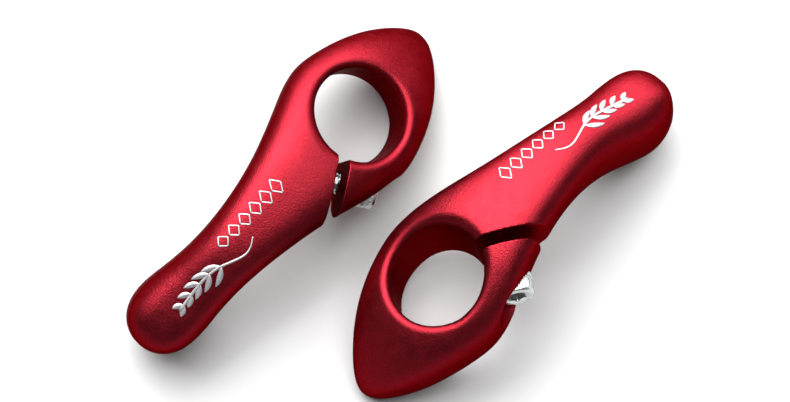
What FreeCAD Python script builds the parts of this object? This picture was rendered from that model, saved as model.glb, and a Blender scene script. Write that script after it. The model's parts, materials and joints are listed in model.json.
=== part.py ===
import FreeCAD, Part
import math
import os

import Sketcher
from FreeCAD import Placement, Rotation, Vector

# A pair of ergonomic bar ends, left hand and right hand, lying on a flat surface with the
# outboard faces up. Each is one solid aluminium forging with a slit clamp for a 22.2 mm
# handlebar, closed by one M5 socket head bolt on a washer. Millimetres and degrees.
#
# Each bar end is drawn in its own frame: Z is the clamp axis, pointing outboard, X points
# from the clamp to the horn, and the slit is on the -Y side of the right hand one. The
# left hand one is its mirror image, so everything on Y is multiplied by hand, +1 or -1.
# Each is then turned and laid on Z = 0 as it rests on a table.

doc = FreeCAD.newDocument("BarEnds")
sheet = doc.addObject("Spreadsheet::Sheet", "Sizes")

drivingSizes = [
    ("tipReach", 28.5, "clamp axis to the pointed end"),
    ("hornReach", 72.0, "clamp axis to the end of the horn"),
    ("tipRounding", 21.0, "length over which the pointed end closes"),
    ("hornRounding", 15.2, "length over which the horn end closes"),
    ("squareness", 2.8, "exponent of the section: 2 is an ellipse, more is squarer"),
    ("clampBore", 22.2, "diameter of the handlebar clamp"),
    ("rimRadius", 2.6, "rounding of both rims of the clamp bore"),
    ("slitWidth", 2.8, "gap of the clamp slit"),
    ("slitAngle", 32.0, "slit direction, from the horn axis towards the slit side"),
    ("slitOffset", 2.6, "slit centre plane to the clamp axis"),
    ("boltHeight", 1.5, "bolt axis above the middle of the clamp"),
    ("jawThickness", 4.2, "metal between the slit and the bolt seat"),
    ("threadDiameter", 5.0, "bolt thread"),
    ("boltLength", 16.0, "bolt length under the head"),
    ("boltTipChamfer", 0.8, "lead chamfer of the bolt"),
    ("headDiameter", 8.5, "bolt head"),
    ("headHeight", 4.0, "bolt head"),
    ("headRounding", 0.6, "top edge of the bolt head"),
    ("socketFlats", 4.0, "hexagon socket across its flats"),
    ("socketDepth", 2.2, "hexagon socket"),
    ("washerDiameter", 9.0, "washer"),
    ("washerHole", 5.3, "washer"),
    ("washerThickness", 1.0, "washer"),
    ("pocketWall", 0.6, "washer to the clamp bore, along the slit"),
    ("boltReach", "=(clampBore + washerDiameter) / 2 + pocketWall", "bolt axis to the clamp axis, along the slit"),
    ("seatClearance", 0.2, "washer to the wall of its pocket, all round"),
    ("shankClearance", 0.25, "bolt to its hole in the jaw, all round"),
    ("threadClearance", 0.05, "bolt to its tapped hole, all round"),
    ("threadRunout", 2.0, "depth of the tapped hole past the end of the bolt"),
    ("ringWall", 6.3, "width past the bore on each side, at its middle"),
    ("browWall", 4.2, "the same, towards the pointed end"),
    ("jawWall", 3.9, "the same, towards the horn"),
    ("leftYaw", 228.3, "heading of the left horn, seen from above"),
    ("leftPitch", -0.5, "nose down tilt of the left horn"),
    ("leftRoll", -17.4, "roll of the left bar end about its horn"),
    ("rightYaw", 44.5, "heading of the right horn, seen from above"),
    ("rightPitch", -0.2, "nose down tilt of the right horn"),
    ("rightRoll", -13.6, "roll of the right bar end about its horn"),
    ("spreadAcross", 20.1, "left clamp axis to the right one, across"),
    ("spreadBack", 40.2, "left clamp axis behind the right one"),
]

# Sections of the sculpted body: three equal steps from the clamp axis to the pointed end
# and six to the end of the horn. Each gives the full width, the height of its middle above
# the middle of the clamp, and the full depth, before the ends close.
sections = [
    ("tip", 19.2, -13.1, 16.0),
    ("nose", 25.6, -8.0, 18.6),
    ("brow", "=clampBore + 2 * browWall", -4.2, 21.0),
    ("ring", "=clampBore + 2 * ringWall", -1.7, 22.4),
    ("jaw", "=clampBore + 2 * jawWall", 3.6, 19.2),
    ("saddle", 22.4, 6.4, 15.4),
    ("waist", 17.4, 5.9, 14.8),
    ("neck", 15.4, 1.0, 19.2),
    ("palm", 17.8, -5.2, 22.0),
    ("knob", 23.0, -4.2, 21.8),
]
for place, width, lift, depth in sections:
    drivingSizes.append((place + "Width", width, "section width at the " + place))
    drivingSizes.append((place + "Lift", lift, "section middle at the " + place))
    drivingSizes.append((place + "Depth", depth, "section depth at the " + place))

for row, (alias, value, note) in enumerate(drivingSizes, start=1):
    sheet.set(f"A{row}", note)
    sheet.set(f"B{row}", str(value))
    sheet.setAlias(f"B{row}", alias)
doc.recompute()


def size(alias):
    """The number that the sheet holds under this alias."""
    return float(sheet.get(alias))


def splineThrough(places, values):
    """Natural cubic spline through the points (places, values), as a function of place."""
    count = len(places)
    steps = [places[i + 1] - places[i] for i in range(count - 1)]
    slopes = [(values[i + 1] - values[i]) / steps[i] for i in range(count - 1)]
    bends = [0.0] * count
    weights = [0.0] * count
    for i in range(1, count - 1):
        pivot = 2 * (steps[i - 1] + steps[i]) - steps[i - 1] * weights[i - 1]
        weights[i] = steps[i] / pivot
        bends[i] = (6 * (slopes[i] - slopes[i - 1]) - steps[i - 1] * bends[i - 1]) / pivot
    for i in range(count - 2, 0, -1):
        bends[i] -= weights[i] * bends[i + 1]

    def valueAt(x):
        i = 0
        while i < count - 2 and x > places[i + 1]:
            i += 1
        past = x - places[i]
        left = places[i + 1] - x
        curved = bends[i] * left**3 + bends[i + 1] * past**3
        start = (values[i] / steps[i] - bends[i] * steps[i] / 6) * left
        end = (values[i + 1] / steps[i] - bends[i + 1] * steps[i] / 6) * past
        return curved / (6 * steps[i]) + start + end

    return valueAt


def sectionPlaces():
    """Where the ten named sections stand along X."""
    tipSteps = 3
    hornSteps = len(sections) - 1 - tipSteps
    tipSide = [-size("tipReach") * k / tipSteps for k in range(tipSteps, 0, -1)]
    hornSide = [size("hornReach") * k / hornSteps for k in range(hornSteps + 1)]
    return tipSide + hornSide


def sectionWire(x, halfWidth, lift, halfDepth, hand):
    """Closed superellipse across X, starting on the side away from the slit."""
    pointsRound = 32
    exponent = size("squareness")
    points = []
    for step in range(pointsRound):
        angle = 2 * math.pi * step / pointsRound
        across = math.cos(angle)
        up = math.sin(angle)
        reach = (abs(across) ** exponent + abs(up) ** exponent) ** (-1 / exponent)
        y = hand * halfWidth * reach * across
        z = lift + hand * halfDepth * reach * up
        points.append(Vector(x, y, z))
    curve = Part.BSplineCurve()
    knots = [step / pointsRound for step in range(pointsRound + 1)]
    curve.interpolate(Points=points, PeriodicFlag=True, Parameters=knots)
    return Part.Wire([curve.toShape()])


def sculptedBlank(hand):
    """The bar end before machining: a loft whose sections shrink to a small pole at both ends."""
    places = sectionPlaces()
    widthAt = splineThrough(places, [size(s[0] + "Width") for s in sections])
    liftAt = splineThrough(places, [size(s[0] + "Lift") for s in sections])
    depthAt = splineThrough(places, [size(s[0] + "Depth") for s in sections])
    tipEnd = -size("tipReach")
    hornEnd = size("hornReach")
    tipStart = tipEnd + size("tipRounding")
    hornStart = hornEnd - size("hornRounding")
    domeSteps = 7
    middleSteps = 16
    poleTurn = math.radians(6)
    domeTurns = [poleTurn + (math.pi / 2 - poleTurn) * k / domeSteps for k in range(domeSteps)]

    stops = []
    for turn in domeTurns:
        stops.append((tipStart - size("tipRounding") * math.cos(turn), math.sin(turn)))
    for step in range(middleSteps + 1):
        stops.append((tipStart + (hornStart - tipStart) * step / middleSteps, 1.0))
    for turn in reversed(domeTurns):
        stops.append((hornStart + size("hornRounding") * math.cos(turn), math.sin(turn)))

    profile = []
    for x, shrink in stops:
        halfWidth = 0.5 * widthAt(x) * shrink
        halfDepth = 0.5 * depthAt(x) * shrink
        profile.append(sectionWire(x, halfWidth, liftAt(x), halfDepth, hand))
    return Part.makeLoft(profile, True, False)


def clampTurn(hand):
    """Turns X into the direction that the slit runs outwards from the bore."""
    return Rotation(Vector(0, 0, 1), -hand * size("slitAngle"))


def boltSeat(hand):
    """Frame on the washer's seat: its origin on the bolt axis, its Z out along the head."""
    turn = clampTurn(hand)
    depth = size("slitOffset") - size("slitWidth") / 2 - size("jawThickness")
    centre = turn.multVec(Vector(size("boltReach"), hand * depth, size("boltHeight")))
    return Placement(centre, turn * Rotation(Vector(1, 0, 0), 90 * hand))


def addCylinder(name, radius, height, placement):
    """A cylinder whose radius and height are expressions on the sheet."""
    cylinder = doc.addObject("Part::Cylinder", name)
    cylinder.setExpression("Radius", radius)
    cylinder.setExpression("Height", height)
    cylinder.Placement = placement
    return cylinder


def rimEdges(shape):
    """Numbers of the edges where the clamp bore meets the sculpted outside."""
    found = []
    for number, edge in enumerate(shape.Edges, start=1):
        if edge.Degenerated:
            continue
        middle = edge.valueAt((edge.FirstParameter + edge.LastParameter) / 2)
        onBore = abs(math.hypot(middle.x, middle.y) - size("clampBore") / 2) < 0.01
        upright = edge.BoundBox.XLength < 0.01 and edge.BoundBox.YLength < 0.01
        if onBore and not upright:
            found.append(number)
    return found


def addBarEnd(side, hand):
    """One bar end: the sculpted blank, bored, slit and drilled, then the bore's rims rounded."""
    throughAll = 80.0
    below = Vector(0, 0, -throughAll / 2)

    blank = doc.addObject("Part::Feature", side + "Blank")
    blank.Shape = sculptedBlank(hand)

    bore = addCylinder(side + "Bore", "Sizes.clampBore / 2", f"{throughAll} mm", Placement(below, Rotation()))
    turn = clampTurn(hand)
    corner = Vector(0, hand * size("slitOffset") - size("slitWidth") / 2, -throughAll / 2)
    slit = doc.addObject("Part::Box", side + "Slit")
    slit.setExpression("Length", "Sizes.hornReach")
    slit.setExpression("Width", "Sizes.slitWidth")
    slit.Height = throughAll
    slit.Placement = Placement(turn.multVec(corner), turn)

    seat = boltSeat(hand)
    pocket = addCylinder(
        side + "Pocket",
        "Sizes.washerDiameter / 2 + Sizes.seatClearance",
        "Sizes.hornReach",
        seat,
    )
    inward = Rotation(Vector(1, 0, 0), 180)
    jawHole = addCylinder(
        side + "JawHole",
        "Sizes.threadDiameter / 2 + Sizes.shankClearance",
        "Sizes.jawThickness + Sizes.slitWidth / 2",
        seat * Placement(Vector(), inward),
    )
    tappedHole = addCylinder(
        side + "TappedHole",
        "Sizes.threadDiameter / 2 + Sizes.threadClearance",
        "Sizes.boltLength - Sizes.washerThickness + Sizes.threadRunout",
        seat * Placement(Vector(), inward),
    )
    cuts = doc.addObject("Part::MultiFuse", side + "Cuts")
    cuts.Shapes = [bore, slit, pocket, jawHole, tappedHole]

    machined = doc.addObject("Part::Cut", side + "Machined")
    machined.Base = blank
    machined.Tool = cuts
    doc.recompute()

    barEnd = doc.addObject("Part::Fillet", side + "BarEnd")
    barEnd.Base = machined
    rim = size("rimRadius")
    barEnd.Edges = [(number, rim, rim) for number in rimEdges(machined.Shape)]
    barEnd.Label = side + "_bar_end"
    doc.recompute()
    return barEnd


def originPlane(body, role):
    """One of the body's own origin planes."""
    return next(feature for feature in body.Origin.OriginFeatures if feature.Role == role)


def addSketch(body, name, height=None):
    """A sketch on the body's XY plane, raised by an expression on the sheet."""
    sketch = body.newObject("Sketcher::SketchObject", name)
    sketch.AttachmentSupport = (originPlane(body, "XY_Plane"), [""])
    sketch.MapMode = "FlatFace"
    if height:
        sketch.setExpression("AttachmentOffset.Base.z", height)
    return sketch


def addCircle(sketch, diameter):
    """A circle about the sketch's origin whose diameter is an expression on the sheet."""
    onOrigin = 1
    centrePoint = 3
    circle = sketch.addGeometry(Part.Circle(Vector(), Vector(0, 0, 1), 1.0), False)
    sketch.addConstraint(Sketcher.Constraint("Coincident", circle, centrePoint, -1, onOrigin))
    number = sketch.addConstraint(Sketcher.Constraint("Diameter", circle, 2.0))
    sketch.setExpression(f"Constraints[{number}]", diameter)


def addHexagon(sketch, flats):
    """A regular hexagon about the sketch's origin, its flats apart by an expression."""
    onOrigin = 1
    centrePoint = 3
    outer = Part.Circle(Vector(), Vector(0, 0, 1), 1.0)
    circle = sketch.addGeometry(outer, True)
    sketch.addConstraint(Sketcher.Constraint("Coincident", circle, centrePoint, -1, onOrigin))
    corners = [Vector(math.cos(k * math.pi / 3), math.sin(k * math.pi / 3), 0) for k in range(6)]
    sides = []
    for k in range(6):
        sides.append(sketch.addGeometry(Part.LineSegment(corners[k], corners[(k + 1) % 6]), False))
    for k in range(6):
        after = sides[(k + 1) % 6]
        sketch.addConstraint(Sketcher.Constraint("Coincident", sides[k], 2, after, 1))
        sketch.addConstraint(Sketcher.Constraint("PointOnObject", sides[k], 1, circle))
        if k:
            sketch.addConstraint(Sketcher.Constraint("Equal", sides[0], sides[k]))
    sketch.addConstraint(Sketcher.Constraint("PointOnObject", sides[0], 1, -1))
    number = sketch.addConstraint(Sketcher.Constraint("Diameter", circle, 2.0))
    sketch.setExpression(f"Constraints[{number}]", f"{flats} * 2 / sqrt(3)")


def addPad(body, sketch, name, length, reverse=False):
    """The sketch pulled into a solid, downwards when reversed."""
    pad = body.newObject("PartDesign::Pad", name)
    pad.Profile = sketch
    pad.setExpression("Length", length)
    pad.Reversed = reverse
    return pad


def roundEdges(shape, radius, height):
    """Names of the circular edges of this radius at this height."""
    names = []
    for number, edge in enumerate(shape.Edges, start=1):
        box = edge.BoundBox
        level = abs(box.ZMin - height) < 0.001 and abs(box.ZMax - height) < 0.001
        if level and abs(box.XLength - 2 * radius) < 0.01:
            names.append(f"Edge{number}")
    return names


def addClampBolt(side):
    """Socket head bolt: underside of the head on Z = 0, head upwards, shank downwards."""
    body = doc.addObject("PartDesign::Body", side + "ClampBolt")
    body.Label = side + "_clamp_bolt"

    headSketch = addSketch(body, side + "HeadSketch")
    addCircle(headSketch, "Sizes.headDiameter")
    addPad(body, headSketch, side + "Head", "Sizes.headHeight")

    shankSketch = addSketch(body, side + "ShankSketch")
    addCircle(shankSketch, "Sizes.threadDiameter")
    shank = addPad(body, shankSketch, side + "Shank", "Sizes.boltLength", reverse=True)
    doc.recompute()

    rounding = body.newObject("PartDesign::Fillet", side + "HeadRounding")
    rounding.Base = (shank, roundEdges(shank.Shape, size("headDiameter") / 2, size("headHeight")))
    rounding.setExpression("Radius", "Sizes.headRounding")
    doc.recompute()

    lead = body.newObject("PartDesign::Chamfer", side + "BoltTip")
    lead.Base = (rounding, roundEdges(rounding.Shape, size("threadDiameter") / 2, -size("boltLength")))
    lead.setExpression("Size", "Sizes.boltTipChamfer")

    socketSketch = addSketch(body, side + "SocketSketch", "Sizes.headHeight")
    addHexagon(socketSketch, "Sizes.socketFlats")
    socket = body.newObject("PartDesign::Pocket", side + "Socket")
    socket.Profile = socketSketch
    socket.setExpression("Length", "Sizes.socketDepth")
    doc.recompute()
    removed = lead.Shape.Volume - socket.Shape.Volume
    if removed < 1:
        raise RuntimeError(f"the socket of the {side} bolt removed only {removed} mm3")
    return body


def addWasher(side):
    """Plain washer, its underside on Z = 0."""
    body = doc.addObject("PartDesign::Body", side + "Washer")
    body.Label = side + "_washer"
    sketch = addSketch(body, side + "WasherSketch")
    addCircle(sketch, "Sizes.washerDiameter")
    addCircle(sketch, "Sizes.washerHole")
    addPad(body, sketch, side + "WasherPad", "Sizes.washerThickness")
    doc.recompute()
    return body


def restingPlace(side, barEnd, across, back):
    """Where a bar end lies: turned as the sheet says, its lowest point on Z = 0."""
    turn = Rotation(size(side + "Yaw"), size(side + "Pitch"), size(side + "Roll"))
    turned = barEnd.Shape.copy()
    turned.Placement = Placement(Vector(), turn)
    lowest = turned.optimalBoundingBox(False).ZMin
    return Placement(Vector(across, back, -lowest), turn)


barEnds = {}
washers = {}
bolts = {}
seats = {}
for side, hand in (("left", -1), ("right", 1)):
    barEnds[side] = addBarEnd(side, hand)
    washers[side] = addWasher(side)
    bolts[side] = addClampBolt(side)
    seats[side] = boltSeat(hand)
    across = hand * size("spreadAcross") / 2
    back = -hand * size("spreadBack") / 2
    barEnds[side].Placement = restingPlace(side, barEnds[side], across, back)

# The middle of the pair's own box stands over the origin.
pairBox = FreeCAD.BoundBox()
for barEnd in barEnds.values():
    pairBox.add(barEnd.Shape.optimalBoundingBox(False))
toOrigin = Placement(Vector(-pairBox.Center.x, -pairBox.Center.y, 0), Rotation())
onWasher = Placement(Vector(0, 0, size("washerThickness")), Rotation())
for side, barEnd in barEnds.items():
    barEnd.Placement = toOrigin * barEnd.Placement
    washers[side].Placement = barEnd.Placement * seats[side]
    bolts[side].Placement = washers[side].Placement * onWasher
doc.recompute()

for thing in doc.Objects:
    if "Invalid" in thing.State or "Error" in thing.State:
        raise RuntimeError(f"{thing.Label} failed: {thing.State}")
subParts = [*barEnds.values(), *washers.values(), *bolts.values()]
for part in subParts:
    if part.Shape.isNull() or not part.Shape.isValid():
        raise RuntimeError(f"{part.Label} has no valid shape")

os.makedirs("parts", exist_ok=True)
for part in subParts:
    part.Shape.exportStep(f"parts/{part.Label}.step")
    solids = len(part.Shape.Solids)
    print(part.Label, round(part.Shape.Volume), "mm3 in", solids, "solid", part.Placement)
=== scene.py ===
import json
import math

import bmesh
import bpy
import numpy as np
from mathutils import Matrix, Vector


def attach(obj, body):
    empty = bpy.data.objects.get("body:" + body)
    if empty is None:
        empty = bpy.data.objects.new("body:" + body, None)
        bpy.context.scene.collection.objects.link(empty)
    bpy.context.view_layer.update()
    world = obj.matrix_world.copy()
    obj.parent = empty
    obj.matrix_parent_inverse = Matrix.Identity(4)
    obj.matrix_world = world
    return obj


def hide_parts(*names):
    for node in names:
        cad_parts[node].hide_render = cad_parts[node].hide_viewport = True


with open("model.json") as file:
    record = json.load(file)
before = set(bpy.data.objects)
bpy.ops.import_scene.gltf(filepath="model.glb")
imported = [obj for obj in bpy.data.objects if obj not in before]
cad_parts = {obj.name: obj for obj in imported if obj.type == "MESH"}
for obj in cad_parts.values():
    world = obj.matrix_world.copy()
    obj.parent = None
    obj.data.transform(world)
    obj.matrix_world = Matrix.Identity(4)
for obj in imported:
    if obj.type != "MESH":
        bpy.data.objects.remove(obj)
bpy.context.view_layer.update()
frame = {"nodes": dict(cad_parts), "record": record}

record = frame["record"]
joints = record["behaviour"]["joints"]
toMetres = 0.001          # the shapes below are worked out in millimetres
perMetre = 1000           # a pattern's scale is this over its size in millimetres
hands = {"left": -1, "right": 1}


def linearColour(hexColour):
    # sRGB hex to linear, with alpha 1
    channels = [int(hexColour[i:i + 2], 16) / 255 for i in (1, 3, 5)]
    return [c / 12.92 if c <= 0.04045 else ((c + 0.055) / 1.055) ** 2.4 for c in channels] + [1.0]


def addNode(tree, kind, settings=None, links=None):
    # one node, its properties or input defaults, and what feeds its inputs
    node = tree.nodes.new(kind)
    for name, value in (settings or {}).items():
        if name in node.inputs:
            node.inputs[name].default_value = value
        else:
            setattr(node, name, value)
    for name, source in (links or {}).items():
        tree.links.new(source, node.inputs[name])
    return node


def newMaterial(name):
    # an empty node tree to build in
    material = bpy.data.materials.new(name)
    material.use_nodes = True
    tree = material.node_tree
    tree.nodes.clear()
    return material, tree


def naturalSpline(places, values):
    # natural cubic spline: second derivatives from the usual tridiagonal system, zero at the ends
    places = np.array(places, float)
    values = np.array(values, float)
    steps = np.diff(places)
    system = np.eye(len(places))
    right = np.zeros(len(places))
    inner = np.arange(1, len(places) - 1)
    system[inner, inner - 1] = steps[:-1]
    system[inner, inner] = 2 * (steps[:-1] + steps[1:])
    system[inner, inner + 1] = steps[1:]
    right[inner] = 6 * np.diff(np.diff(values) / steps)
    bends = np.linalg.solve(system, right)

    def valueAt(x):
        i = np.clip(np.searchsorted(places, x) - 1, 0, len(steps) - 1)
        past, left, step = x - places[i], places[i + 1] - x, steps[i]
        curved = (bends[i] * left ** 3 + bends[i + 1] * past ** 3) / (6 * step)
        start = (values[i] / step - bends[i] * step / 6) * left
        return curved + start + (values[i + 1] / step - bends[i + 1] * step / 6) * past

    return valueAt


def gridFaces(rows, columns, closeRows=False, closeColumns=False):
    # quads of a grid whose point number is row * columns + column
    r = np.arange(rows if closeRows else rows - 1)[:, None]
    c = np.arange(columns if closeColumns else columns - 1)[None, :]
    nextRow, nextColumn = (r + 1) % rows, (c + 1) % columns
    here, below = r * columns, nextRow * columns
    corners = [here + c, here + nextColumn, below + nextColumn, below + c]
    return np.stack(np.broadcast_arrays(*corners), -1).reshape(-1, 4)


def meshObject(name, points, faces, material):
    mesh = bpy.data.meshes.new(name)
    mesh.from_pydata(points.tolist(), [], [list(f) for f in faces])
    mesh.materials.append(material)
    mesh.shade_smooth()
    piece = bpy.data.objects.new(name, mesh)
    bpy.context.scene.collection.objects.link(piece)
    return piece


def cleanUp(piece, distance):
    # merges the repeated points of poles and seams, and turns every face outwards
    work = bmesh.new()
    work.from_mesh(piece.data)
    bmesh.ops.remove_doubles(work, verts=work.verts, dist=distance)
    bmesh.ops.dissolve_degenerate(work, edges=work.edges, dist=distance * 0.5)
    bmesh.ops.recalc_face_normals(work, faces=work.faces)
    work.to_mesh(piece.data)
    work.free()


def anodisedRed():
    # Bead-blasted aluminium, dyed red and sealed: a satin metal with a fine even grain.
    # The blast leaves dents about 0.1 mm across, drawn larger so that they show.
    material, tree = newMaterial("red_anodised_aluminium")
    look = {"dye": "#801c26", "dyeDeep": "#68151d", "edge": "#8a4a50", "dentMm": 0.38, "dentDepthMm": 0.1,
            "patchMm": 2.5, "smooth": 0.33, "rough": 0.43}
    place = addNode(tree, "ShaderNodeTexCoord")
    dents = addNode(tree, "ShaderNodeTexNoise",
                    {"Scale": perMetre / look["dentMm"], "Detail": 3.0, "Roughness": 0.65},
                    {"Vector": place.outputs["Object"]})
    patches = addNode(tree, "ShaderNodeTexNoise", {"Scale": perMetre / look["patchMm"], "Detail": 2.0},
                      {"Vector": place.outputs["Object"]})
    grain = addNode(tree, "ShaderNodeMapRange",
                    {"From Min": 0.3, "From Max": 0.7, "To Min": 0.0, "To Max": 1.0},
                    {"Value": dents.outputs["Fac"]})
    colour = addNode(tree, "ShaderNodeMix", {"data_type": "RGBA"})
    colour.inputs[6].default_value = linearColour(look["dyeDeep"])
    colour.inputs[7].default_value = linearColour(look["dye"])
    tree.links.new(grain.outputs["Result"], colour.inputs[0])
    rough = addNode(tree, "ShaderNodeMapRange",
                    {"From Min": 0.3, "From Max": 0.7, "To Min": look["smooth"], "To Max": look["rough"]},
                    {"Value": patches.outputs["Fac"]})
    bump = addNode(tree, "ShaderNodeBump", {"Strength": 1.0, "Distance": look["dentDepthMm"] * toMetres},
                   {"Height": dents.outputs["Fac"]})
    shader = addNode(tree, "ShaderNodeBsdfPrincipled",
                     {"Metallic": 1.0, "Specular Tint": linearColour(look["edge"])},
                     {"Base Color": colour.outputs[2], "Roughness": rough.outputs["Result"],
                      "Normal": bump.outputs["Normal"]})
    addNode(tree, "ShaderNodeOutputMaterial", links={"Surface": shader.outputs["BSDF"]})
    return material


def zincPlate():
    # Bright zinc plate on steel: a cool light grey metal, slightly cloudy
    material, tree = newMaterial("bright_zinc_plated_steel")
    place = addNode(tree, "ShaderNodeTexCoord")
    look = {"plate": "#a9aeac", "bloom": "#dfe3e2", "cloudMm": 1.2, "smooth": 0.2, "rough": 0.38}
    cloud = addNode(tree, "ShaderNodeTexNoise", {"Scale": perMetre / look["cloudMm"], "Detail": 4.0},
                    {"Vector": place.outputs["Object"]})
    colour = addNode(tree, "ShaderNodeMix", {"data_type": "RGBA"})
    colour.inputs[6].default_value = linearColour(look["plate"])
    colour.inputs[7].default_value = linearColour(look["bloom"])
    tree.links.new(cloud.outputs["Fac"], colour.inputs[0])
    rough = addNode(tree, "ShaderNodeMapRange",
                    {"From Min": 0.3, "From Max": 0.7, "To Min": look["smooth"], "To Max": look["rough"]},
                    {"Value": cloud.outputs["Fac"]})
    shader = addNode(tree, "ShaderNodeBsdfPrincipled", {"Metallic": 1.0},
                     {"Base Color": colour.outputs[2], "Roughness": rough.outputs["Result"]})
    addNode(tree, "ShaderNodeOutputMaterial", links={"Surface": shader.outputs["BSDF"]})
    return material


def etchedAluminium():
    # Aluminium bared by a laser: the dye is burnt off, and leaves pale silver, rougher than the dyed skin
    material, tree = newMaterial("laser_etched_aluminium")
    place = addNode(tree, "ShaderNodeTexCoord")
    look = {"bare": "#8d8a8d", "burnt": "#bdbbbd", "speckleMm": 0.3, "rough": 0.5}
    speckle = addNode(tree, "ShaderNodeTexNoise", {"Scale": perMetre / look["speckleMm"], "Detail": 2.0},
                      {"Vector": place.outputs["Object"]})
    colour = addNode(tree, "ShaderNodeMix", {"data_type": "RGBA"})
    colour.inputs[6].default_value = linearColour(look["bare"])
    colour.inputs[7].default_value = linearColour(look["burnt"])
    tree.links.new(speckle.outputs["Fac"], colour.inputs[0])
    shader = addNode(tree, "ShaderNodeBsdfPrincipled", {"Metallic": 0.85, "Roughness": look["rough"]},
                     {"Base Color": colour.outputs[2]})
    addNode(tree, "ShaderNodeOutputMaterial", links={"Surface": shader.outputs["BSDF"]})
    return material


redAluminium = anodisedRed()
zincSteel = zincPlate()
bareMark = etchedAluminium()
print("materials made")

# The bar ends: one sculpted body each, machined for the bar and the bolt. Millimetres.
barEnd = {
    "tipReach": 28.5, "hornReach": 72.0,            # clamp axis to each end
    "tipRounding": 21.0, "hornRounding": 15.2,
    "squareness": 2.8,
    "width": [19.2, 25.6, 30.6, 34.8, 30.0, 22.4, 17.4, 15.4, 17.8, 23.0],
    "lift": [-13.1, -8.0, -4.2, -1.7, 3.6, 6.4, 5.9, 1.0, -5.2, -4.2],
    "depth": [16.0, 18.6, 21.0, 22.4, 19.2, 15.4, 14.8, 19.2, 22.0, 21.8],
    "boreRadius": 11.1, "rimRadius": 2.6,
    "slitWidth": 2.8, "slitAngle": math.radians(32), "slitOffset": 2.6, "slitEdge": 0.2,
    "boltReach": 16.2, "boltHeight": 1.5, "jaw": 4.2,
    "pocketRadius": 4.7, "pocketEdge": 0.35,
    "jawHoleRadius": 2.75, "tappedRadius": 2.55, "tappedDepth": 17.0, "holeEdge": 0.15,
    "meshSize": 0.36,
}
tipPlaces = [-barEnd["tipReach"] * k / 3 for k in (3, 2, 1)]
sectionPlaces = tipPlaces + [barEnd["hornReach"] * k / 6 for k in range(7)]
halfWidthAt = naturalSpline(sectionPlaces, np.array(barEnd["width"]) / 2)
liftAt = naturalSpline(sectionPlaces, barEnd["lift"])
halfDepthAt = naturalSpline(sectionPlaces, np.array(barEnd["depth"]) / 2)


def localFrame(side):
    # Origin on the clamp axis; rows of axes are the horn, the back and the outboard directions.
    # The clamp mount's axis points inboard, and the bolt travels square to the slit.
    clamp = next(m for m in record["mounts"] if m["name"] == side + "_clamp")
    travel = next(j for j in joints if j["name"] == side + "_bolt_travel")
    outboard = -np.array(clamp["axis"])
    intoHorn = -np.array(travel["axis"])
    alongSlit = np.cross(intoHorn, outboard) * hands[side]
    turn = barEnd["slitAngle"]
    horn = math.cos(turn) * alongSlit + math.sin(turn) * intoHorn
    back = math.cos(turn) * intoHorn - math.sin(turn) * alongSlit
    return np.array(clamp["pos_m"]), np.array([horn, back, outboard])


def toWorld(points, origin, axes):
    return origin + points * toMetres @ axes


def toLocal(points, origin, axes):
    return (points - origin) @ axes.T / toMetres


def sectionLevel(p):
    # 1 on the sculpted surface, less inside: the superellipse radius of the section at x,
    # combined as a circle with how far x has gone into the rounded end
    x = np.clip(p[:, 0], -barEnd["tipReach"] - 4, barEnd["hornReach"] + 4)
    n = barEnd["squareness"]
    across = np.abs(p[:, 1] / halfWidthAt(x)) ** n
    up = np.abs((p[:, 2] - liftAt(x)) / halfDepthAt(x)) ** n
    radius = (across + up) ** (1 / n)
    pastTip = barEnd["tipRounding"] - barEnd["tipReach"] - p[:, 0]
    pastHorn = p[:, 0] - barEnd["hornReach"] + barEnd["hornRounding"]
    intoTip = np.clip(pastTip, 0, None) / barEnd["tipRounding"]
    intoHorn = np.clip(pastHorn, 0, None) / barEnd["hornRounding"]
    return np.sqrt(radius ** 2 + intoTip ** 2 + intoHorn ** 2)


def gradient(field, p, step=0.01):
    # central differences along the three axes
    shifts = np.eye(3) * step
    return np.stack([(field(p + s) - field(p - s)) / (2 * step) for s in shifts], 1)


def blankDistance(p):
    # distance to the sculpted surface, to first order: the level's excess over its slope
    slope = np.linalg.norm(gradient(sectionLevel, p), axis=1)
    return (sectionLevel(p) - 1) / np.maximum(slope, 0.005)


def roundedCut(body, cut, radius):
    # what is left of a body when a cut is taken out of it, their edge rounded to a radius;
    # body is negative inside the metal, and cut is positive inside the cut
    sharp = np.maximum(body, cut)
    rounded = np.hypot(np.maximum(body + radius, 0), np.maximum(cut + radius, 0))
    return np.minimum(sharp, -radius) + rounded


def barEndDistance(p):
    # the finished body: blank, bore with rounded rims, slit, bolt pocket and holes
    turn = barEnd["slitAngle"]
    along = p[:, 0] * math.cos(turn) - p[:, 1] * math.sin(turn)
    across = p[:, 0] * math.sin(turn) + p[:, 1] * math.cos(turn)
    body = blankDistance(p)
    body = roundedCut(body, barEnd["boreRadius"] - np.hypot(p[:, 0], p[:, 1]), barEnd["rimRadius"])
    slit = np.minimum(barEnd["slitWidth"] / 2 - np.abs(across - barEnd["slitOffset"]), along)
    body = roundedCut(body, slit, barEnd["slitEdge"])
    fromAxis = np.hypot(along - barEnd["boltReach"], p[:, 2] - barEnd["boltHeight"])
    aboveSeat = barEnd["slitOffset"] - barEnd["slitWidth"] / 2 - barEnd["jaw"] - across
    pocket = np.minimum(barEnd["pocketRadius"] - fromAxis, aboveSeat)
    body = roundedCut(body, pocket, barEnd["pocketEdge"])
    aboveJaw = aboveSeat + barEnd["jaw"] + barEnd["slitWidth"] / 2
    jawHole = np.minimum(barEnd["jawHoleRadius"] - fromAxis, aboveJaw)
    body = roundedCut(body, jawHole, barEnd["holeEdge"])
    tapped = np.minimum(barEnd["tappedRadius"] - fromAxis, aboveSeat + barEnd["tappedDepth"])
    return roundedCut(body, tapped, barEnd["holeEdge"])


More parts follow.
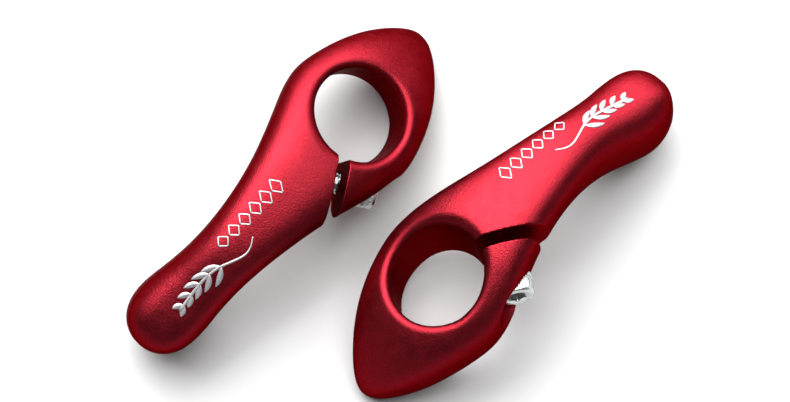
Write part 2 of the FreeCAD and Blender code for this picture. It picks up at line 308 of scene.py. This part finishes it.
def makeBarEnd(side):
    # An even net of small quads is laid over the machined shape, and its points are then
    # settled on the exact surface by Newton steps along the distance's gradient.
    origin, axes = localFrame(side)
    node = frame["nodes"][side + "_bar_end"]
    piece = bpy.data.objects.new(side + "_body", node.data.copy())
    bpy.context.scene.collection.objects.link(piece)
    cleanUp(piece, 1e-6)
    net = piece.modifiers.new("net", "REMESH")
    net.mode = "VOXEL"
    net.voxel_size = barEnd["meshSize"] * toMetres
    depsgraph = bpy.context.evaluated_depsgraph_get()
    mesh = bpy.data.meshes.new_from_object(piece.evaluated_get(depsgraph))
    piece.modifiers.clear()
    piece.data = mesh

    points = np.zeros(len(mesh.vertices) * 3)
    mesh.vertices.foreach_get("co", points)
    p = toLocal(points.reshape(-1, 3), origin, axes)
    mostPerStep = 0.2
    for step in range(7):
        slope = gradient(barEndDistance, p)
        steepness = np.maximum(np.sum(slope ** 2, axis=1), 0.2)
        move = (barEndDistance(p) / steepness)[:, None] * slope
        length = np.maximum(np.linalg.norm(move, axis=1), 1e-9)
        p = p - move * np.minimum(1, mostPerStep / length)[:, None]
    print(side, "body", len(mesh.polygons), "quads, off by", float(np.abs(barEndDistance(p)).max()), "mm")
    mesh.vertices.foreach_set("co", toWorld(p, origin, axes).ravel())
    mesh.update()
    mesh.shade_smooth()
    normals = gradient(barEndDistance, p) @ axes
    normals /= np.maximum(np.linalg.norm(normals, axis=1), 1e-9)[:, None]
    mesh.normals_split_custom_set_from_vertices(normals.tolist())
    mesh.materials.clear()
    mesh.materials.append(redAluminium)
    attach(piece, side + "_bar_end")
    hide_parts(side + "_bar_end")
    return piece


for side in hands:
    makeBarEnd(side)
print("bodies made")

# The etched mark on each horn: a row of outlined lozenges, and a leafy sprig towards its end
mark = {
    "lift": 0.03, "thickness": 0.08, "shiftBack": 2.9,
    "diamonds": 6, "diamondStart": 25.0, "diamondLength": 3.4, "diamondHalfHeight": 2.1,
    "diamondHeart": 0.6, "lineWidth": 0.3,
    "stem": [(38.5, -3.4), (42.0, -5.0), (46.5, -3.6), (52.0, -2.4), (61.0, -3.6)],
    "stemWidth": 0.75,
    "leaves": 5, "leafStart": 48.0, "leafStep": 2.9,
    "leafLength": 4.6, "leafWidth": 1.3, "leafTurn": math.radians(48),
}


def strip(path, widths):
    # a flat ribbon in plan: the path moved to either side along its own perpendicular, 3 points across
    ahead = np.gradient(path, axis=0)
    ahead /= np.linalg.norm(ahead, axis=1)[:, None]
    aside = np.stack([-ahead[:, 1], ahead[:, 0]], 1)
    across = np.array([-0.5, 0, 0.5])
    points = path[:, None, :] + aside[:, None, :] * (across[None, :] * widths[:, None])[:, :, None]
    return points.reshape(-1, 2), gridFaces(len(path), 3)


def topOfHorn(plan):
    # height of the outboard face over points in plan, from the section formula
    x, y = plan[:, 0], plan[:, 1]
    n = barEnd["squareness"]
    intoHorn = np.clip(x - barEnd["hornReach"] + barEnd["hornRounding"], 0, None) / barEnd["hornRounding"]
    shrink = np.sqrt(np.clip(1 - intoHorn ** 2, 0.01, 1))
    rise = np.clip(shrink ** n - np.abs(y / halfWidthAt(x)) ** n, 0.01, None) ** (1 / n)
    return liftAt(x) + halfDepthAt(x) * rise


def markShapes():
    # every stroke of the mark in plan, x along the horn and y towards its back, with its quads
    shapes = []
    for k in range(mark["diamonds"]):
        middle = mark["diamondStart"] + (k + 0.5) * mark["diamondLength"]
        half = 0.42 * mark["diamondLength"]
        high = mark["diamondHalfHeight"] * (1 - 0.06 * k)
        y = mark["diamondHeart"]
        corners = np.array([(middle - half, y), (middle, y + high), (middle + half, y), (middle, y - high)])
        for i in range(4):
            share = np.linspace(0, 1, 8)[:, None]
            path = corners[i] * (1 - share) + corners[(i + 1) % 4] * share
            shapes.append(strip(path, np.full(8, mark["lineWidth"])))
    knots = np.array(mark["stem"])
    run = np.linspace(0, len(knots) - 1, 60)
    stem = np.stack([naturalSpline(range(len(knots)), knots[:, i])(run) for i in (0, 1)], 1)
    shapes.append(strip(stem, mark["stemWidth"] * np.linspace(0.35, 1.0, 60)))
    stemYAt = naturalSpline(knots[:, 0], knots[:, 1])
    for k in range(mark["leaves"]):
        for way in (-1, 1):
            x = mark["leafStart"] + k * mark["leafStep"]
            start = np.array([x, float(stemYAt(np.array([x]))[0])])
            length = mark["leafLength"] * (1 - 0.11 * k)
            share = np.linspace(0, 1, 14)
            turn = way * mark["leafTurn"] * (1 - 0.35 * share)
            path = start + length * np.stack([share * np.cos(turn), share * np.sin(turn)], 1)
            shapes.append(strip(path, mark["leafWidth"] * np.sin(np.pi * share) ** 0.8 + 0.02))
    return shapes


def makeMark(side):
    # every stroke is laid over the horn's outboard face, a hair above it, and given a thin wall
    origin, axes = localFrame(side)
    points, faces, count = [], [], 0
    for plan, quads in markShapes():
        points.append(plan)
        faces.append(quads + count)
        count += len(plan)
    plan = np.concatenate(points) + (0, mark["shiftBack"])
    p = np.column_stack([plan, topOfHorn(plan)])
    outward = gradient(sectionLevel, p)
    outward /= np.linalg.norm(outward, axis=1)[:, None]
    p = p + outward * mark["lift"]
    piece = meshObject(side + "_etched_mark", toWorld(p, origin, axes), np.concatenate(faces), bareMark)
    if side == "left":
        piece.data.flip_normals()   # the left hand frame is a mirror image
    wall = piece.modifiers.new("wall", "SOLIDIFY")
    wall.thickness = mark["thickness"] * toMetres
    wall.offset = -1
    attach(piece, side + "_bar_end")
    return piece


for side in hands:
    makeMark(side)
print("marks made")

# The clamp bolts and their washers
bolt = {
    "shankRadius": 2.5, "shankLength": 16.0, "tipChamfer": 0.8, "pitch": 0.8, "threadDepth": 0.42,
    "headRadius": 4.25, "headHeight": 4.0, "headRounding": 0.6, "knurls": 36, "knurlDepth": 0.16,
    "socketHalfFlats": 2.0, "socketDepth": 2.2, "columns": 144,
}
washer = {"outer": 4.5, "inner": 2.65, "thickness": 1.0, "edge": 0.12, "columns": 96}


def boltFrame(side, node):
    # z runs out along the bolt axis, from the underside of the bolt's head or of the washer
    turn = next(j for j in joints if j["name"] == side + "_bolt_turn")
    axis = np.array(turn["axis"])
    _, axes = localFrame(side)
    aside = np.cross(axes[2], axis)
    aside /= np.linalg.norm(aside)
    seat = np.array(turn["pos_m"]) - (axis * washer["thickness"] * toMetres if node == "washer" else 0)
    return seat, np.array([aside, np.cross(axis, aside), axis])


def makeBolt(side):
    # A profile of radius and height from the tip's centre, up the thread, round the head and
    # down the hexagon socket, turned about the axis. The thread takes a triangle wave of
    # height / pitch - angle / turn off the radius, the knurl a cosine of the angle, and in the
    # socket the radius is the hexagon's: half the flats over the cosine within each sixth.
    b = bolt
    length, rise = b["shankLength"], b["headHeight"]
    shankHeights = np.arange(-length + b["tipChamfer"], -0.3, 0.1)
    lead = [(0, -length), (b["shankRadius"] - b["tipChamfer"], -length)]
    shank = [(b["shankRadius"], h) for h in shankHeights] + [(b["shankRadius"], 0)]
    corner = np.linspace(0, math.pi / 2, 7)
    wide, rounding = b["headRadius"], b["headRounding"]
    top = [(wide - rounding * (1 - math.cos(a)), rise - rounding * (1 - math.sin(a))) for a in corner]
    head = [(wide - 0.25, 0), (wide, 0.25), (wide, 0.5), (wide, 0.7), (wide, rise - 1.1), (wide, rise - 0.9)]
    head += top
    floor = rise - b["socketDepth"]
    socket = [(2.75, rise), (2.45, rise - 0.12), (2.3, rise - 0.3), (2.3, floor), (1.2, floor - 0.1),
              (0, floor - 0.5)]
    profile = np.array(lead + shank + head + socket)
    radius, height = profile[:, :1], profile[:, 1:]
    angle = np.linspace(0, 2 * math.pi, b["columns"], endpoint=False)[None, :]
    rows = len(profile)
    r = np.repeat(radius, b["columns"], 1)
    z = np.repeat(height, b["columns"], 1)

    shankRows = slice(len(lead), len(lead) + len(shankHeights))
    phase = (z[shankRows] / b["pitch"] - angle / (2 * math.pi)) % 1
    fade = np.clip((-z[shankRows] - 0.4) / 1.2, 0, 1) * np.clip((z[shankRows] + length - 0.6) / 0.8, 0.3, 1)
    r[shankRows] -= b["threadDepth"] * fade * (1 - np.abs(2 * phase - 1))
    knurled = slice(len(lead) + len(shank) + 3, len(lead) + len(shank) + 5)
    r[knurled] -= b["knurlDepth"] * (0.5 + 0.5 * np.cos(b["knurls"] * angle))
    sixth = (angle + math.pi / 6) % (math.pi / 3) - math.pi / 6
    hexagon = b["socketHalfFlats"] / np.cos(sixth)
    r[rows - 4:rows - 2] = hexagon
    r[rows - 5] = np.maximum(hexagon + 0.04, 2.38)

    points = np.stack([r * np.cos(angle), r * np.sin(angle), z], -1).reshape(-1, 3)
    origin, axes = boltFrame(side, "bolt")
    faces = gridFaces(rows, b["columns"], closeColumns=True)
    piece = meshObject(side + "_bolt", toWorld(points, origin, axes), faces, zincSteel)
    cleanUp(piece, 1e-6)
    piece.data.set_sharp_from_angle(angle=math.radians(32))
    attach(piece, side + "_clamp_bolt")
    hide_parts(side + "_clamp_bolt")
    return piece


def makeWasher(side):
    # a flat ring: a rectangle of radius and height with its four corners rounded, turned about the axis
    w = washer
    turns = np.linspace(0, math.pi / 2, 4)
    corners = [(w["outer"], 0, -90), (w["outer"], w["thickness"], 0)]
    corners += [(w["inner"], w["thickness"], 90), (w["inner"], 0, 180)]
    profile = []
    for radius, height, start in corners:
        inR = -1 if radius == w["outer"] else 1
        inZ = 1 if height == 0 else -1
        centre = np.array([radius + inR * w["edge"], height + inZ * w["edge"]])
        a = math.radians(start) + turns
        profile.append(centre + w["edge"] * np.stack([np.cos(a), np.sin(a)], 1))
    profile = np.concatenate(profile)
    angle = np.linspace(0, 2 * math.pi, w["columns"], endpoint=False)[None, :]
    r, z = profile[:, :1], np.repeat(profile[:, 1:], w["columns"], 1)
    points = np.stack([r * np.cos(angle), r * np.sin(angle), z], -1).reshape(-1, 3)
    origin, axes = boltFrame(side, "washer")
    faces = gridFaces(len(profile), w["columns"], closeRows=True, closeColumns=True)
    piece = meshObject(side + "_plain_washer", toWorld(points, origin, axes), faces, zincSteel)
    cleanUp(piece, 1e-7)
    piece.data.set_sharp_from_angle(angle=math.radians(40))
    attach(piece, side + "_washer")
    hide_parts(side + "_washer")
    return piece


for side in hands:
    makeBolt(side)
    makeWasher(side)
print("bolts and washers made")

# Floor, light and camera
studio = {
    "floorSize": 6.0, "floorColour": "#a4a4a4",
    "worldColour": "#ffffff", "worldStrength": 0.25,
    "cameraPlace": (-0.0018, -0.1423, 0.5721), "cameraTilt": math.radians(14.3), "lens": 113.6,
}


def makeFloor():
    # a matt grey board that the softboxes light to white
    half = studio["floorSize"] / 2
    material, tree = newMaterial("matt_grey_board")
    shader = addNode(tree, "ShaderNodeBsdfPrincipled",
                     {"Base Color": linearColour(studio["floorColour"]), "Roughness": 0.9})
    addNode(tree, "ShaderNodeOutputMaterial", links={"Surface": shader.outputs["BSDF"]})
    corners = np.array([(-half, -half, 0), (half, -half, 0), (half, half, 0), (-half, half, 0)])
    floor = meshObject("floor", corners, [[0, 1, 2, 3]], material)


def addSoftbox(name, place, width, height, power, colour="#ffffff"):
    # a rectangular area light that faces the middle of the pair
    data = bpy.data.lights.new(name, "AREA")
    data.shape = "RECTANGLE"
    data.size, data.size_y = width, height
    data.energy = power
    data.color = linearColour(colour)[:3]
    light = bpy.data.objects.new(name, data)
    bpy.context.scene.collection.objects.link(light)
    light.location = place
    aim = np.array([0, 0, 0.015]) - np.array(place)
    light.rotation_euler = Vector(aim).to_track_quat("-Z", "Y").to_euler()


makeFloor()
addSoftbox("key", (-0.35, 0.5, 0.85), 1.1, 0.65, 22.0)
addSoftbox("overhead", (0.05, 0.2, 1.0), 1.1, 0.7, 20.0)
addSoftbox("back", (0.1, 1.0, 0.5), 1.9, 0.5, 28.0)

world = bpy.data.worlds.new("studio")
bpy.context.scene.world = world
world.use_nodes = True
background = next(n for n in world.node_tree.nodes if n.type == "BACKGROUND")
background.inputs["Color"].default_value = linearColour(studio["worldColour"])
background.inputs["Strength"].default_value = studio["worldStrength"]

cameraData = bpy.data.cameras.new("camera")
cameraData.lens = studio["lens"]
cameraData.sensor_width = 36
cameraData.clip_start = 0.01
camera = bpy.data.objects.new("camera", cameraData)
bpy.context.scene.collection.objects.link(camera)
camera.location = studio["cameraPlace"]
camera.rotation_euler = (studio["cameraTilt"], 0, 0)
bpy.context.scene.camera = camera
bpy.context.scene.view_settings.view_transform = "Standard"
print("studio made")

bpy.context.view_layer.update()
